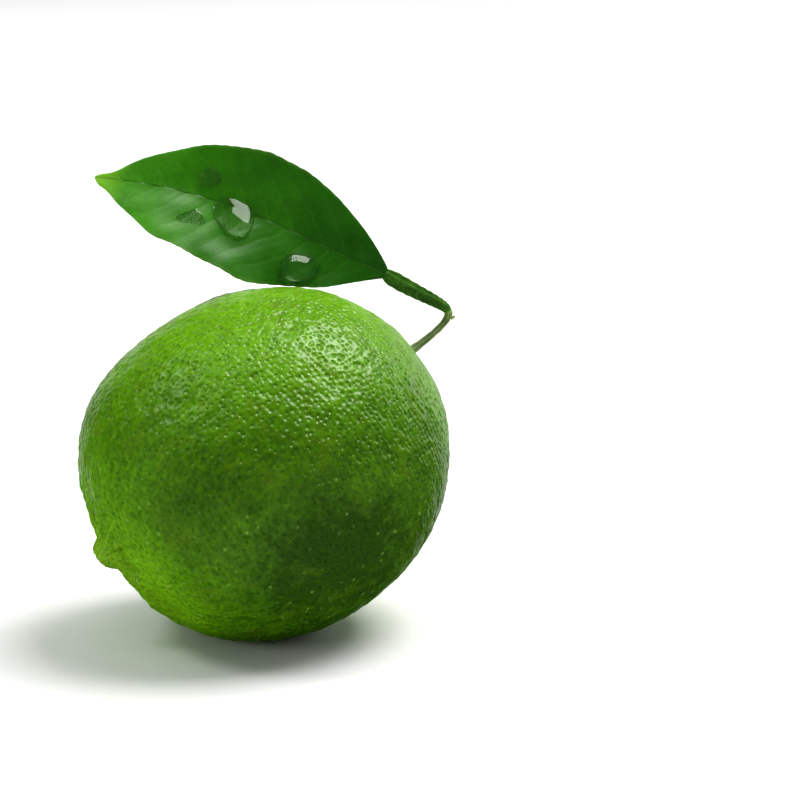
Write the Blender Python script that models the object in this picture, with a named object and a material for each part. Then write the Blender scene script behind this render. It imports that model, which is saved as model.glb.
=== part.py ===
"""One whole lime as picked: fruit, calyx, fruit stalk, bud, winged leaf stalk, leaf and water drops.

The fruit lies on a small flat spot. The origin is the middle of that spot and +Z is up. The nipple
points to -X and the stem end to +X, a little uphill and to +Y. The leaf rests on top of the fruit with
its upper face towards -Y. Sizes are in metres and angles in degrees. A heading is measured round +Z
from +X towards +Y, and a pitch is measured up from the horizontal.
"""
import math

import bmesh
import bpy
import numpy as np

# Fruit: an oval turned round its axis, with fuller shoulders near the nipple. The shoulders' place is
# an angle from the stem end, and they lean towards one side of the axis.
FRUIT_WIDTH = 0.0555
FRUIT_LENGTH = 0.0596
AXIS_HEADING = 24.5
AXIS_PITCH = 25.7
SHOULDER_RISE = 0.0013
SHOULDER_PLACE = 135.5
SHOULDER_SPREAD = 31.0
SHOULDER_LEAN = 0.43
LEAN_TURN = -22.0
NIPPLE_HEADING = 200.0
NIPPLE_PITCH = -25.2
NIPPLE_HEIGHT = 0.0018
NIPPLE_WIDTH = 0.0050
NECK_DEPTH = 0.0003
NECK_WIDTH = 0.0130
NECK_SPREAD = 0.0070
SPOT_DEPTH = 0.0008

# Calyx: a star of five blunt lobes with a raised middle, pressed to the stem end.
STEM_HEADING = 36.7
STEM_PITCH = 27.8
CALYX_WIDTH = 0.0078
CALYX_LOBES = 5
CALYX_LOBE_CUT = 0.2
CALYX_RIM = 0.0005
CALYX_RISE = 0.0011
CALYX_COLLAR = 0.0032

# Fruit stalk: from the calyx to the bend where the leaf stalk and the bud grow.
STALK_LENGTH = 0.0112
STALK_HEADING = 21.0
STALK_PITCH = 39.6
STALK_START_WIDTH = 0.0018
STALK_WIDTH = 0.0011
STALK_END_WIDTH = 0.0014

# Bud: a small pointed scale on the outside of the bend.
BUD_LENGTH = 0.0009
BUD_WIDTH = 0.0007

# Leaf stalk: flat, narrow at the bend and winged towards the leaf.
LEAF_STALK_LENGTH = 0.0137
LEAF_STALK_HEADING = 209.0
LEAF_STALK_PITCH = 32.0
LEAF_STALK_START_WIDTH = 0.0012
LEAF_STALK_WING_WIDTH = 0.0022
LEAF_STALK_JOINT_WIDTH = 0.0013
LEAF_STALK_THICKNESS = 0.0010

# Leaf: an oval blade, folded along its midrib, arched, with a wavy edge. The widths are of one half
# each, and the shapes are the powers of the way from the base and of the way from the tip.
LEAF_LENGTH = 0.0503
LEAF_UPPER_WIDTH = 0.0104
LEAF_LOWER_WIDTH = 0.0112
LEAF_UPPER_SHAPE = (0.9, 1.05)
LEAF_LOWER_SHAPE = (1.15, 0.98)
LEAF_BASE_WIDTH = 0.0012
LEAF_THICKNESS = 0.0004
LEAF_EDGE_THICKNESS = 0.00022
LEAF_HEADING = 188.2
LEAF_PITCH = 19.6
LEAF_FACE_TILT = 22.0
LEAF_FOLD = 14.0
LEAF_ARCH = 0.0023
LEAF_BOW = 0.0012
LEAF_WAVE = 0.0003
LEAF_WAVES = 3.2

# Water drops on the leaf: share of the way along the blade, share of the way across the half that it
# lies on, with the lower half below zero, then length, width and height.
DROPS = {
    "water_drop_1": (0.545, -0.12, 0.0068, 0.0064, 0.0011),
    "water_drop_2": (0.289, -0.60, 0.0068, 0.0048, 0.0011),
    "water_drop_3": (0.72, -0.37, 0.0084, 0.0040, 0.0005),
    "water_drop_4": (0.65, 0.39, 0.0034, 0.0036, 0.0004),
}

# The space left between pieces that touch.
GAP = 0.0003
LEAF_CLEARANCE = 0.0003

FRUIT_SEGMENTS = 48
TUBE_SIDES = 12
CALYX_SEGMENTS = 40
DROP_SEGMENTS = 20


def unit(vector):
    """The vector, or each row of an array of vectors, at length 1."""
    return vector / np.linalg.norm(vector, axis=-1, keepdims=True)


def direction(heading, pitch):
    """The unit vector with this heading and pitch."""
    turn = math.radians(heading)
    rise = math.radians(pitch)
    return np.array([math.cos(rise) * math.cos(turn), math.cos(rise) * math.sin(turn), math.sin(rise)])


def upright_side(axis):
    """The unit vector square to an axis that points as far up as it can."""
    return unit(np.array([0.0, 0.0, 1.0]) - axis * axis[2])


AXIS = direction(AXIS_HEADING, AXIS_PITCH)
AXIS_UP = upright_side(AXIS)
AXIS_SIDE = np.cross(AXIS, AXIS_UP)
STEM = direction(STEM_HEADING, STEM_PITCH)
NIPPLE = direction(NIPPLE_HEADING, NIPPLE_PITCH)


def fruit_radius(way):
    """How far the skin is from the fruit's centre along each unit vector."""
    along = np.clip(way @ AXIS, -1.0, 1.0)
    from_stem = np.arccos(along)
    round_axis = np.arctan2(way @ AXIS_SIDE, way @ AXIS_UP)
    oval = 1.0 / np.sqrt((np.sin(from_stem) * 2.0 / FRUIT_WIDTH) ** 2 + (along * 2.0 / FRUIT_LENGTH) ** 2)
    lean = 1.0 + SHOULDER_LEAN * np.cos(round_axis - math.radians(LEAN_TURN))
    off_shoulder = (np.degrees(from_stem) - SHOULDER_PLACE) / SHOULDER_SPREAD
    shoulder = SHOULDER_RISE * lean * np.exp(-off_shoulder**2)
    across_tip = np.arccos(np.clip(way @ NIPPLE, -1.0, 1.0)) * FRUIT_LENGTH
    nipple = NIPPLE_HEIGHT * np.exp(-((across_tip / NIPPLE_WIDTH) ** 4))
    neck = NECK_DEPTH * np.exp(-(((across_tip - NECK_WIDTH) / NECK_SPREAD) ** 2))
    return oval + shoulder + nipple - neck


def skin(way, height=0.0):
    """The point that stands this high over the skin along each unit vector, from the fruit's centre."""
    return way * (fruit_radius(way) + height)[..., None]


def fruit_centre():
    """The fruit's centre: over its lowest point, and lowered by the depth of the flat spot."""
    turn, tilt = np.meshgrid(np.linspace(0.0, 2.0 * math.pi, 361), np.linspace(0.0, 0.6, 241))
    down = np.stack([np.sin(tilt) * np.cos(turn), np.sin(tilt) * np.sin(turn), -np.cos(tilt)], axis=-1)
    points = skin(down).reshape(-1, 3)
    lowest = points[np.argmin(points[:, 2])]
    return np.array([-lowest[0], -lowest[1], -lowest[2] - SPOT_DEPTH])


CENTRE = fruit_centre()


def bezier(start, start_pull, end_pull, end, steps):
    """Points along the cubic curve that leaves start for start_pull and reaches end from end_pull."""
    t = np.linspace(0.0, 1.0, steps)[:, None]
    rest = 1.0 - t
    return rest**3 * start + 3.0 * rest**2 * t * start_pull + 3.0 * rest * t**2 * end_pull + t**3 * end


def material(name, colour, roughness):
    """A plain Principled material."""
    made = bpy.data.materials.new(name)
    made.use_nodes = True
    shader = made.node_tree.nodes["Principled BSDF"]
    shader.inputs["Base Color"].default_value = (*colour, 1.0)
    shader.inputs["Roughness"].default_value = roughness
    shader.inputs["Metallic"].default_value = 0.0
    made.diffuse_color = (*colour, 1.0)
    return made


def finish(name, mesh_data, look):
    """Turn the bmesh into the named, smooth-shaded object with its material."""
    bmesh.ops.recalc_face_normals(mesh_data, faces=mesh_data.faces)
    mesh = bpy.data.meshes.new(name)
    mesh_data.to_mesh(mesh)
    mesh_data.free()
    mesh.shade_smooth()
    mesh.set_sharp_from_angle(angle=math.radians(50.0))
    mesh.materials.append(look)
    thing = bpy.data.objects.new(name, mesh)
    bpy.context.scene.collection.objects.link(thing)
    return thing


def loft(name, rings, look):
    """Join rings of points, an array of ring by point by xyz, into a closed body with filled ends."""
    mesh_data = bmesh.new()
    loops = [[mesh_data.verts.new(point) for point in ring] for ring in rings]
    count = len(loops[0])
    for ring, after in zip(loops, loops[1:]):
        for k in range(count):
            following = (k + 1) % count
            mesh_data.faces.new((ring[k], ring[following], after[following], after[k]))
    mesh_data.faces.new(loops[0])
    mesh_data.faces.new(loops[-1])
    return finish(name, mesh_data, look)


def tube_rings(path, widths, thicknesses, face):
    """Oval rings round a path: widths lie across the face direction and thicknesses along it."""
    along = unit(np.gradient(path, axis=0))
    across = unit(np.cross(along, face))
    outward = np.cross(across, along)
    turn = np.linspace(0.0, 2.0 * math.pi, TUBE_SIDES, endpoint=False)[None, :, None]
    wide = across[:, None, :] * np.cos(turn) * widths[:, None, None] / 2.0
    thick = outward[:, None, :] * np.sin(turn) * thicknesses[:, None, None] / 2.0
    return path[:, None, :] + wide + thick


def make_fruit():
    """Spin a half circle round the nipple's axis, move each point to the skin and cut the flat spot."""
    side = upright_side(NIPPLE)
    other = np.cross(NIPPLE, side)
    fine = np.linspace(0.0, 18.0, 10)
    slow = np.linspace(24.0, 180.0, 26)
    angles = np.radians(np.concatenate([fine, slow]))
    mesh_data = bmesh.new()
    outline = [mesh_data.verts.new((math.sin(a), 0.0, math.cos(a))) for a in angles]
    edges = [mesh_data.edges.new(pair) for pair in zip(outline, outline[1:])]
    bmesh.ops.spin(
        mesh_data,
        geom=outline + edges,
        cent=(0.0, 0.0, 0.0),
        axis=(0.0, 0.0, 1.0),
        angle=2.0 * math.pi,
        steps=FRUIT_SEGMENTS,
        use_merge=True,
    )
    bmesh.ops.remove_doubles(mesh_data, verts=mesh_data.verts, dist=0.001)
    for vert in mesh_data.verts:
        way = unit(vert.co.x * side + vert.co.y * other + vert.co.z * NIPPLE)
        vert.co = CENTRE + skin(way)
    whole = mesh_data.verts[:] + mesh_data.edges[:] + mesh_data.faces[:]
    cut = bmesh.ops.bisect_plane(
        mesh_data,
        geom=whole,
        dist=1e-6,
        plane_co=(0.0, 0.0, 0.0),
        plane_no=(0.0, 0.0, 1.0),
        clear_inner=True,
    )
    rim = [piece for piece in cut["geom_cut"] if isinstance(piece, bmesh.types.BMEdge)]
    bmesh.ops.edgeloop_fill(mesh_data, edges=rim)
    return finish("fruit", mesh_data, material("lime_peel", (0.10, 0.27, 0.02), 0.32))


def calyx_height(spread):
    """The calyx's thickness at each share of its radius: a thin rim that swells into the collar."""
    collar = CALYX_RISE * np.exp(-((spread * CALYX_WIDTH / CALYX_COLLAR) ** 4))
    return CALYX_RIM * np.sqrt(np.clip(1.0 - spread**6, 0.0, 1.0)) + collar


def make_calyx():
    """Two lobed skins, one that follows the fruit and one above it, as rings from the inside out."""
    side = upright_side(STEM)
    other = np.cross(STEM, side)
    turn = np.linspace(0.0, 2.0 * math.pi, CALYX_SEGMENTS, endpoint=False)
    reach = CALYX_WIDTH / 2.0 * (1.0 - CALYX_LOBE_CUT * (1.0 - np.cos(CALYX_LOBES * turn)) / 2.0)
    spreads = [0.08, 0.3, 0.42, 0.55, 0.7, 0.85, 0.96, 1.0]
    rings = []
    for spread, top in [(s, True) for s in spreads] + [(s, False) for s in reversed(spreads)]:
        out = spread * reach / np.linalg.norm(skin(STEM))
        way = unit(STEM + out[:, None] * (np.cos(turn)[:, None] * side + np.sin(turn)[:, None] * other))
        height = GAP + (calyx_height(spread) + CALYX_RIM / 4.0 if top else 0.0)
        rings.append(CENTRE + skin(way, np.full(len(turn), height)))
    return loft("calyx", rings, material("calyx_green", (0.16, 0.22, 0.07), 0.6))


class Leaf:
    """The blade: where it lies, and the points on its midrib and its two faces."""

    def __init__(self, base):
        self.base = base
        self.chord = direction(LEAF_HEADING, LEAF_PITCH)
        up = upright_side(self.chord)
        front = np.cross(up, self.chord)
        tilt = math.radians(LEAF_FACE_TILT)
        self.normal = math.cos(tilt) * front + math.sin(tilt) * up
        self.across = math.cos(tilt) * up - math.sin(tilt) * front

    def midrib(self, along):
        """Points on the midrib at shares of the length, arched across the blade and bowed through it."""
        arch = LEAF_ARCH * np.sin(math.pi * along**1.36)
        bow = LEAF_BOW * np.sin(math.pi * along)
        line = along[..., None] * LEAF_LENGTH * self.chord
        return self.base + line + arch[..., None] * self.across + bow[..., None] * self.normal

    def half_width(self, along, side):
        """The blade's width on one side of the midrib; the lower side is fullest nearer the tip."""
        full = np.where(side > 0.0, LEAF_UPPER_WIDTH, LEAF_LOWER_WIDTH)
        start = np.where(side > 0.0, LEAF_UPPER_SHAPE[0], LEAF_LOWER_SHAPE[0])
        end = np.where(side > 0.0, LEAF_UPPER_SHAPE[1], LEAF_LOWER_SHAPE[1])
        widest = start / (start + end)
        shape = along**start * (1.0 - along) ** end
        base = LEAF_BASE_WIDTH / 2.0 * (1.0 - along) ** 9
        return full * shape / (widest**start * (1.0 - widest) ** end) + base

    def face(self, along, side, height=0.0):
        """Points over the middle of the blade's thickness; side runs from -1 to 1 across the blade."""
        out = self.half_width(along, side) * side
        fold = math.tan(math.radians(LEAF_FOLD)) * np.abs(out)
        wave = LEAF_WAVE * side**2 * np.sin(2.0 * math.pi * LEAF_WAVES * along + 1.5 * np.sign(side))
        lift = fold + wave * np.sin(math.pi * along) + height
        return self.midrib(along) + out[..., None] * self.across + lift[..., None] * self.normal

    def rings(self):
        """Flat closed rings round the blade, from its base to its tip."""
        stations = 0.5 - 0.5 * np.cos(np.pi * np.linspace(0.0, 0.95, 26))
        sides = np.linspace(-1.0, 1.0, 11)
        along, side = np.meshgrid(stations, sides, indexing="ij")
        thick = LEAF_EDGE_THICKNESS + (LEAF_THICKNESS - LEAF_EDGE_THICKNESS) * (1.0 - side**2)
        upper = self.face(along, side, thick / 2.0)
        lower = self.face(along, side, -thick / 2.0)
        return np.concatenate([upper, lower[:, ::-1]], axis=1)


def resting_leaf():
    """The leaf over the stem end and the stalks, raised or lowered until it all but touches the fruit."""
    stem_end = CENTRE + skin(STEM)
    bend = stem_end + STALK_LENGTH * direction(STALK_HEADING, STALK_PITCH)
    base = bend + LEAF_STALK_LENGTH * direction(LEAF_STALK_HEADING, LEAF_STALK_PITCH)
    points = Leaf(base).rings().reshape(-1, 3) - CENTRE
    lift = 0.0
    for _ in range(30):
        raised = points + np.array([0.0, 0.0, lift])
        reach = np.linalg.norm(raised, axis=-1)
        lift += LEAF_CLEARANCE - np.min(reach - fruit_radius(unit(raised)))
    return Leaf(base + np.array([0.0, 0.0, lift]))


def make_leaf(leaf):
    """The blade as one thin closed body."""
    return loft("leaf_blade", leaf.rings(), material("leaf_green", (0.05, 0.19, 0.02), 0.35))


def make_fruit_stalk(bend, bend_way):
    """A round tapering stalk from the calyx's collar to the bend."""
    foot = CENTRE + skin(STEM, np.array(CALYX_RIM * 1.25 + CALYX_RISE + 2.0 * GAP))
    reach = np.linalg.norm(bend - foot)
    path = bezier(foot, foot + STEM * reach * 0.4, bend - bend_way * reach * 0.2, bend, 14)
    share = np.linspace(0.0, 1.0, len(path))
    widths = STALK_WIDTH + (STALK_START_WIDTH - STALK_WIDTH) * (1.0 - share) ** 4
    widths += (STALK_END_WIDTH - STALK_WIDTH) * share**4
    rings = tube_rings(path, widths, widths, np.array([0.0, -1.0, 0.0]))
    return loft("fruit_stalk", rings, material("stalk_green", (0.14, 0.20, 0.08), 0.6))


def make_leaf_stalk(leaf, bend, bend_way):
    """A flat stalk that widens into narrow wings and draws in again at the joint with the blade."""
    start = bend + bend_way * GAP
    end = leaf.face(np.array(0.0), np.array(0.0)) - leaf.chord * GAP
    reach = np.linalg.norm(end - start)
    straight = unit(end - start)
    path = bezier(start, start + bend_way * reach * 0.1, end - straight * reach * 0.6, end, 20)
    share = np.linspace(0.0, 1.0, len(path))
    wing = np.clip((share - 0.1) / 0.75, 0.0, 1.0) ** 0.8
    widths = LEAF_STALK_START_WIDTH + (LEAF_STALK_WING_WIDTH - LEAF_STALK_START_WIDTH) * wing
    widths -= (LEAF_STALK_WING_WIDTH - LEAF_STALK_JOINT_WIDTH) * share**14
    thicknesses = np.full(len(path), LEAF_STALK_THICKNESS)
    rings = tube_rings(path, widths, thicknesses, leaf.normal)
    return loft("leaf_stalk", rings, material("leaf_stalk_green", (0.07, 0.16, 0.03), 0.45))


def make_bud(bend, bend_way):
    """A small pointed bud on the outside of the bend."""
    outward = unit(direction(0.0, 10.0) + 0.25 * bend_way)
    start = bend + outward * (STALK_END_WIDTH / 2.0 + GAP) - bend_way * STALK_END_WIDTH * 0.8
    share = np.linspace(0.0, 1.0, 7)
    path = start + share[:, None] * BUD_LENGTH * outward
    widths = BUD_WIDTH * np.sqrt(1.0 - share**2 * 0.97) * (1.0 - 0.4 * share)
    rings = tube_rings(path, widths, widths, np.array([0.0, -1.0, 0.0]))
    return loft("bud", rings, material("bud_green", (0.22, 0.33, 0.12), 0.55))


def make_drop(name, leaf, place, side, length, width, height):
    """A low dome of water whose underside follows the leaf's upper face."""
    turn = np.linspace(0.0, 2.0 * math.pi, DROP_SEGMENTS, endpoint=False)
    full = leaf.half_width(np.array(place), np.array(side))
    rings = []
    spreads = [0.1, 0.4, 0.65, 0.85, 0.96, 1.0]
    for spread, top in [(s, True) for s in spreads] + [(s, False) for s in reversed(spreads)]:
        along = place + spread * np.cos(turn) * length / 2.0 / LEAF_LENGTH
        across = side + spread * np.sin(turn) * width / 2.0 / full
        over = LEAF_THICKNESS / 2.0 + GAP
        dome = height * math.sqrt(max(1.0 - spread**2, 0.0)) + height * 0.15 if top else 0.0
        rings.append(leaf.face(along, across, over + dome))
    return loft(name, rings, material("water", (0.6, 0.75, 0.6), 0.05))


def main():
    """Clear the scene and make every piece."""
    for old in list(bpy.data.objects):
        bpy.data.objects.remove(old, do_unlink=True)
    leaf = resting_leaf()
    towards_leaf = direction(LEAF_STALK_HEADING, LEAF_STALK_PITCH)
    bend = leaf.base - LEAF_STALK_LENGTH * towards_leaf
    bend_way = unit(direction(STALK_HEADING, STALK_PITCH) + towards_leaf)
    make_fruit()
    make_calyx()
    make_fruit_stalk(bend, bend_way)
    make_bud(bend, bend_way)
    make_leaf_stalk(leaf, bend, bend_way)
    make_leaf(leaf)
    for name, (place, side, length, width, height) in DROPS.items():
        make_drop(name, leaf, place, side, length, width, height)


main()
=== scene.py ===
"""How the lime looks: peel, calyx, fruit stalk, bud, leaf stalk, leaf and water drops.

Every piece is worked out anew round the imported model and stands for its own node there.
Lengths are in metres, angles in degrees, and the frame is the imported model's: +Z up, the fruit's flat
spot on z = 0. A heading is measured round +Z from +X towards +Y, a pitch up from the horizontal.
"""

import math

import bpy
import numpy as np
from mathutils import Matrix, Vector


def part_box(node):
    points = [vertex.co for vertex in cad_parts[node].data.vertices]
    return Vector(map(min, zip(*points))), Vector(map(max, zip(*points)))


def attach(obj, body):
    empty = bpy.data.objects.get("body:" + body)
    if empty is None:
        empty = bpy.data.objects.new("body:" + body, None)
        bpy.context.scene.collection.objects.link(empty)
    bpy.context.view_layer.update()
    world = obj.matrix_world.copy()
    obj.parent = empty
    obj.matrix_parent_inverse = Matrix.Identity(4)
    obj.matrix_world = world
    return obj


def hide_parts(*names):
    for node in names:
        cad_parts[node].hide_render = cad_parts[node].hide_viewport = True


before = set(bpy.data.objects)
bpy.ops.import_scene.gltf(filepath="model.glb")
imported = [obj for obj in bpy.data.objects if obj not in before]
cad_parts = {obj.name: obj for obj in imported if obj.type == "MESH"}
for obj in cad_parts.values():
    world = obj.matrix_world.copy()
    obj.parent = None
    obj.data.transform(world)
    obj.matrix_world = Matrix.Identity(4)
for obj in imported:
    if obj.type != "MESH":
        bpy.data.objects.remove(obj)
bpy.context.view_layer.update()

# Fruit: the same oval as the solid, turned round its axis, with fuller shoulders near the nipple.
FRUIT_WIDTH = 0.0555
FRUIT_LENGTH = 0.0596
AXIS_HEADING = 24.5
AXIS_PITCH = 25.7
SHOULDER_RISE = 0.0013
SHOULDER_PLACE = 135.5
SHOULDER_SPREAD = 31.0
SHOULDER_LEAN = 0.43
LEAN_TURN = -22.0
NIPPLE_HEADING = 200.0
NIPPLE_PITCH = -25.2
NIPPLE_HEIGHT = 0.0018
NIPPLE_WIDTH = 0.0050
NECK_DEPTH = 0.0003
NECK_WIDTH = 0.0130
NECK_SPREAD = 0.0070

# Peel: lumps, ripples and grain, each with its shortest and longest wave, and the grain stronger near
# the nipple; oil-gland pits; creases that run out from the nipple, the scar on it, and furrows round
# the stem end; the pale tip, and the middle of the side where the peel is painted darker as shade.
PEEL_CELLS = 127
PLAIN_CELLS = 60
LUMP_HEIGHT = 0.00010
LUMP_WAVES = (0.009, 0.028)
RIPPLE_HEIGHT = 0.00004
RIPPLE_WAVES = (0.0025, 0.0065)
GRAIN_HEIGHT = 0.000036
GRAIN_WAVES = (0.0011, 0.0026)
NIPPLE_GRAIN = 1.2
NIPPLE_GRAIN_SPREAD = 0.013
PIT_SPACING = 0.00090
PIT_RADIUS = 0.00029
PIT_STRAY = 0.5
PIT_VARIETY = 0.8
PIT_LEAST = 0.25
PIT_MORE = 1.3
PIT_DEPTH = 0.000060
PIT_SHADED_DEPTH = 0.00014
PIT_WAVES = (0.004, 0.012)
CREASE_COUNTS = (13, 22, 31, 44, 61)
CREASE_HEIGHT = 0.00070
CREASE_PLACE = 0.0050
CREASE_SPREAD = 0.0060
SCAR_HEADING = 193.5
SCAR_PITCH = -29.5
SCAR_RADIUS = 0.0009
SCAR_LIP = 0.00045
SCAR_LIP_SPREAD = 0.00036
SCAR_DEPTH = 0.00015
SCAR_BOWL_SPREAD = 0.00054
FURROWS = 9
FURROW_DEPTH = 0.00022
FURROW_PLACE = 0.0052
FURROW_SPREAD = 0.0030
PALE_TIP_SPREAD = 0.0050
SHADED_SIDE_HEADING = -60.0
SHADED_SIDE_PITCH = -38.0

# Calyx: a wrinkled star of five blunt lobes with a raised collar. The ragged edge is given as the
# share, the count and the start of each of its waves.
STEM_HEADING = 36.7
STEM_PITCH = 27.8
CALYX_WIDTH = 0.0078
CALYX_LOBES = 5
CALYX_LOBE_CUT = 0.2
CALYX_RAGGED = ((0.030, 11, 0.7), (0.022, 17, 2.1))
CALYX_RIM = 0.0005
CALYX_RISE = 0.0011
CALYX_COLLAR = 0.0032
CALYX_RIDGE = 0.00016
CALYX_WRINKLE = 0.00006
CALYX_GRAIN = 0.00005
CALYX_GRAIN_WAVES = (0.0006, 0.0016)
CALYX_ROOT = 0.0004
CALYX_SIDES = 160

# Fruit stalk, bud and leaf stalk: their bend is known from the leaf's base.
STALK_START_WIDTH = 0.0018
STALK_WIDTH = 0.0011
STALK_END_WIDTH = 0.0014
STALK_HEADING = 21.0
STALK_PITCH = 39.6
STALK_ROOT = 0.0005
STALK_RIDGES = 7
STALK_STATIONS = 110
STALK_SIDES = 56
STALK_DOME_STATIONS = 16
BUD_LENGTH = 0.0007
BUD_WIDTH = 0.0007
BUD_SCALES = 3.2
BUD_SCALE_STEP = 0.13
BUD_STATIONS = 60
BUD_SIDES = 40
LEAF_STALK_LENGTH = 0.0137
LEAF_STALK_HEADING = 209.0
LEAF_STALK_PITCH = 32.0
LEAF_STALK_START_WIDTH = 0.0014
LEAF_STALK_WING_WIDTH = 0.0027
LEAF_STALK_JOINT_WIDTH = 0.0016
LEAF_STALK_THICKNESS = 0.0010
LEAF_STALK_WING_THICKNESS = 0.0003
LEAF_STALK_CORE = 0.00050
LEAF_STALK_OVERLAP = 0.0006
LEAF_STALK_STATIONS = 120
LEAF_STALK_SIDES = 64
CHANNEL_DEPTH = 0.00016
CHANNEL_WIDTH = 0.00024
JOINT_PLACE = 0.945
JOINT_SPREAD = 0.012
JOINT_CUT = 0.22

# Leaf: the same blade as the solid, with veins, a toothed and curled edge and a thinner margin.
LEAF_LENGTH = 0.0503
LEAF_UPPER_WIDTH = 0.0104
LEAF_LOWER_WIDTH = 0.0112
LEAF_UPPER_SHAPE = (0.9, 1.05)
LEAF_LOWER_SHAPE = (1.15, 0.98)
LEAF_BASE_WIDTH = 0.0012
LEAF_THICKNESS = 0.00034
LEAF_EDGE_THICKNESS = 0.00012
LEAF_HEADING = 188.2
LEAF_PITCH = 19.6
LEAF_FACE_TILT = 22.0
LEAF_TWIST = 24.0
LEAF_TWIST_MIDDLE = 0.45
LEAF_FOLD = 14.0
LEAF_FOLD_ROUND = 0.0011
LEAF_FOLD_PLACE = 0.60
LEAF_FOLD_SPREAD = 0.20
LEAF_FLATNESS = 0.55
LEAF_ARCH = 0.0023
LEAF_ARCH_LEAN = 1.36
LEAF_BOW = 0.0012
LEAF_WAVE = 0.0003
LEAF_WAVES = 3.2
LEAF_RUFFLE = 0.00012
LEAF_RUFFLES = 8.3
LEAF_STATIONS = 264
LEAF_SIDES = 176
VEIN_SPACING = 0.0043
VEIN_SLANT = 0.75
VEIN_CURVE = 22.0
VEIN_CROSSING = 0.78
VEIN_WIDTH = 0.00026
VEIN_DEPTH = 0.00004
MINOR_VEINS = 3.0
QUILT_HEIGHT = 0.00005
DENT_HEIGHT = 0.00010
DENT_WAVES = (0.005, 0.016)
RIB_WIDTH = 0.00034
RIB_GROOVE = 0.00004
RIB_HEIGHT = 0.00045
TOOTH_SPACING = 0.0019
TOOTH_DEPTH = 0.00008
CURL_HEIGHT = 0.0002
CURL_PLACE = 0.20
CURL_SPREAD = 0.10
# The edge's own swells and dips, each by its place along the blade, its spread and its height.
UPPER_EDGE_SWELLS = ((0.95, 0.045, -0.0009), (0.60, 0.06, -0.0004), (0.49, 0.03, 0.0001))
LOWER_EDGE_SWELLS = (
    (0.955, 0.035, -0.0006),
    (0.785, 0.05, 0.0009),
    (0.46, 0.07, 0.0008),
    (0.20, 0.06, 0.0003),
)
LEAF_TIP_WIDTH = 0.0009
LEAF_TIP_SHARE = 0.02

# Water drops. Each one: share of the way along the blade, share of the way across its half, with the
# lower half below zero, then length, width and height, how far the edge strays from an oval, and how
# far the top is moved along and across, as shares of half the length and half the width.
DROP_RINGS = 30
DROP_SIDES = 96
DROP_CLEARANCE = 0.00002
DROP_SINK = 0.00005
DROPS = {
    "water_drop_1": (0.545, -0.12, 0.0068, 0.0064, 0.0014, 0.05, (-0.50, -0.50)),
    "water_drop_2": (0.289, -0.60, 0.0068, 0.0048, 0.0015, 0.04, (0.30, -0.30)),
    "water_drop_3": (0.72, -0.37, 0.0084, 0.0040, 0.00008, 0.06, (0.0, 0.0)),
    "water_drop_4": (0.65, 0.39, 0.0034, 0.0036, 0.0004, 0.10, (0.0, -0.2)),
}

# Camera and lights, placed from the middle of the fruit. Each light: way to it, width, height,
# brightness, colour, and whether glossy surfaces mirror it.
CAMERA_LENS = 100.0
CAMERA_PITCH = 12.0
CAMERA_REACH = 0.3596
CAMERA_ASIDE = 0.0210
CAMERA_ABOVE = 0.00997
LIGHT_DISTANCE = 4.0
LIGHTS = {
    "key_softbox": ((0.43, 0.15, 0.89), 2.3, 2.3, 9.6, (1.0, 0.99, 0.97), True),
    "left_softbox": ((-0.59, -0.05, 0.81), 0.9, 1.0, 9.0, (0.97, 0.99, 1.0), True),
    "top_strip": ((-0.03, 0.21, 0.97), 0.4, 0.8, 5.0, (1.0, 1.0, 1.0), True),
    "right_softbox": ((0.74, 0.62, 0.26), 1.5, 1.8, 2.0, (1.0, 1.0, 1.0), True),
    "backdrop": ((0.0, 0.98, -0.05), 6.0, 3.4, 0.8, (1.0, 1.0, 1.0), True),
    "left_fill": ((-0.90, -0.40, 0.17), 2.5, 2.0, 3.5, (1.0, 1.0, 0.98), False),
    "top_fill": ((-0.35, -0.10, 0.93), 2.5, 2.5, 0.8, (1.0, 1.0, 0.98), False),
}
WORLD_COLOUR = (0.97, 0.985, 1.0, 1.0)
WORLD_STRENGTH = 0.20
FLOOR_RADIUS = 6.0
FLOOR_SIDES = 64

RANDOM = np.random.default_rng(41)


def unit(vector):
    """The vector, or each row of an array of vectors, at length 1."""
    return vector / np.linalg.norm(vector, axis=-1, keepdims=True)


def direction(heading, pitch):
    """The unit vector with this heading and pitch."""
    turn = math.radians(heading)
    rise = math.radians(pitch)
    return np.array([math.cos(rise) * math.cos(turn), math.cos(rise) * math.sin(turn), math.sin(rise)])


def full_turn(count):
    """This many equal steps of angle round a circle, in radians."""
    return np.linspace(0.0, 2.0 * math.pi, count, endpoint=False)


def upright_side(axis):
    """The unit vector square to an axis that points as far up as it can."""
    return unit(np.array([0.0, 0.0, 1.0]) - axis * axis[2])


def hump(value, middle, spread):
    """A bell curve of height 1: e to the minus square of the distance from the middle over the spread."""
    return np.exp(-(((value - middle) / spread) ** 2))


def waves(points, count, shortest, longest):
    """A smooth random value of spread 1 at each point: a sum of plane cosine waves."""
    ways = unit(RANDOM.normal(size=(count, 3)))
    lengths = RANDOM.uniform(shortest, longest, count)
    phases = RANDOM.uniform(0.0, 2.0 * math.pi, count)
    turns = points @ (ways * 2.0 * math.pi / lengths[:, None]).T + phases
    return np.cos(turns).sum(axis=-1) * math.sqrt(2.0 / count)


def round_about(way, pole):
    """The angle from a pole and the angle round it, in radians, of each unit vector."""
    side = upright_side(pole)
    other = np.cross(pole, side)
    return np.arccos(np.clip(way @ pole, -1.0, 1.0)), np.arctan2(way @ other, way @ side)


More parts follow.
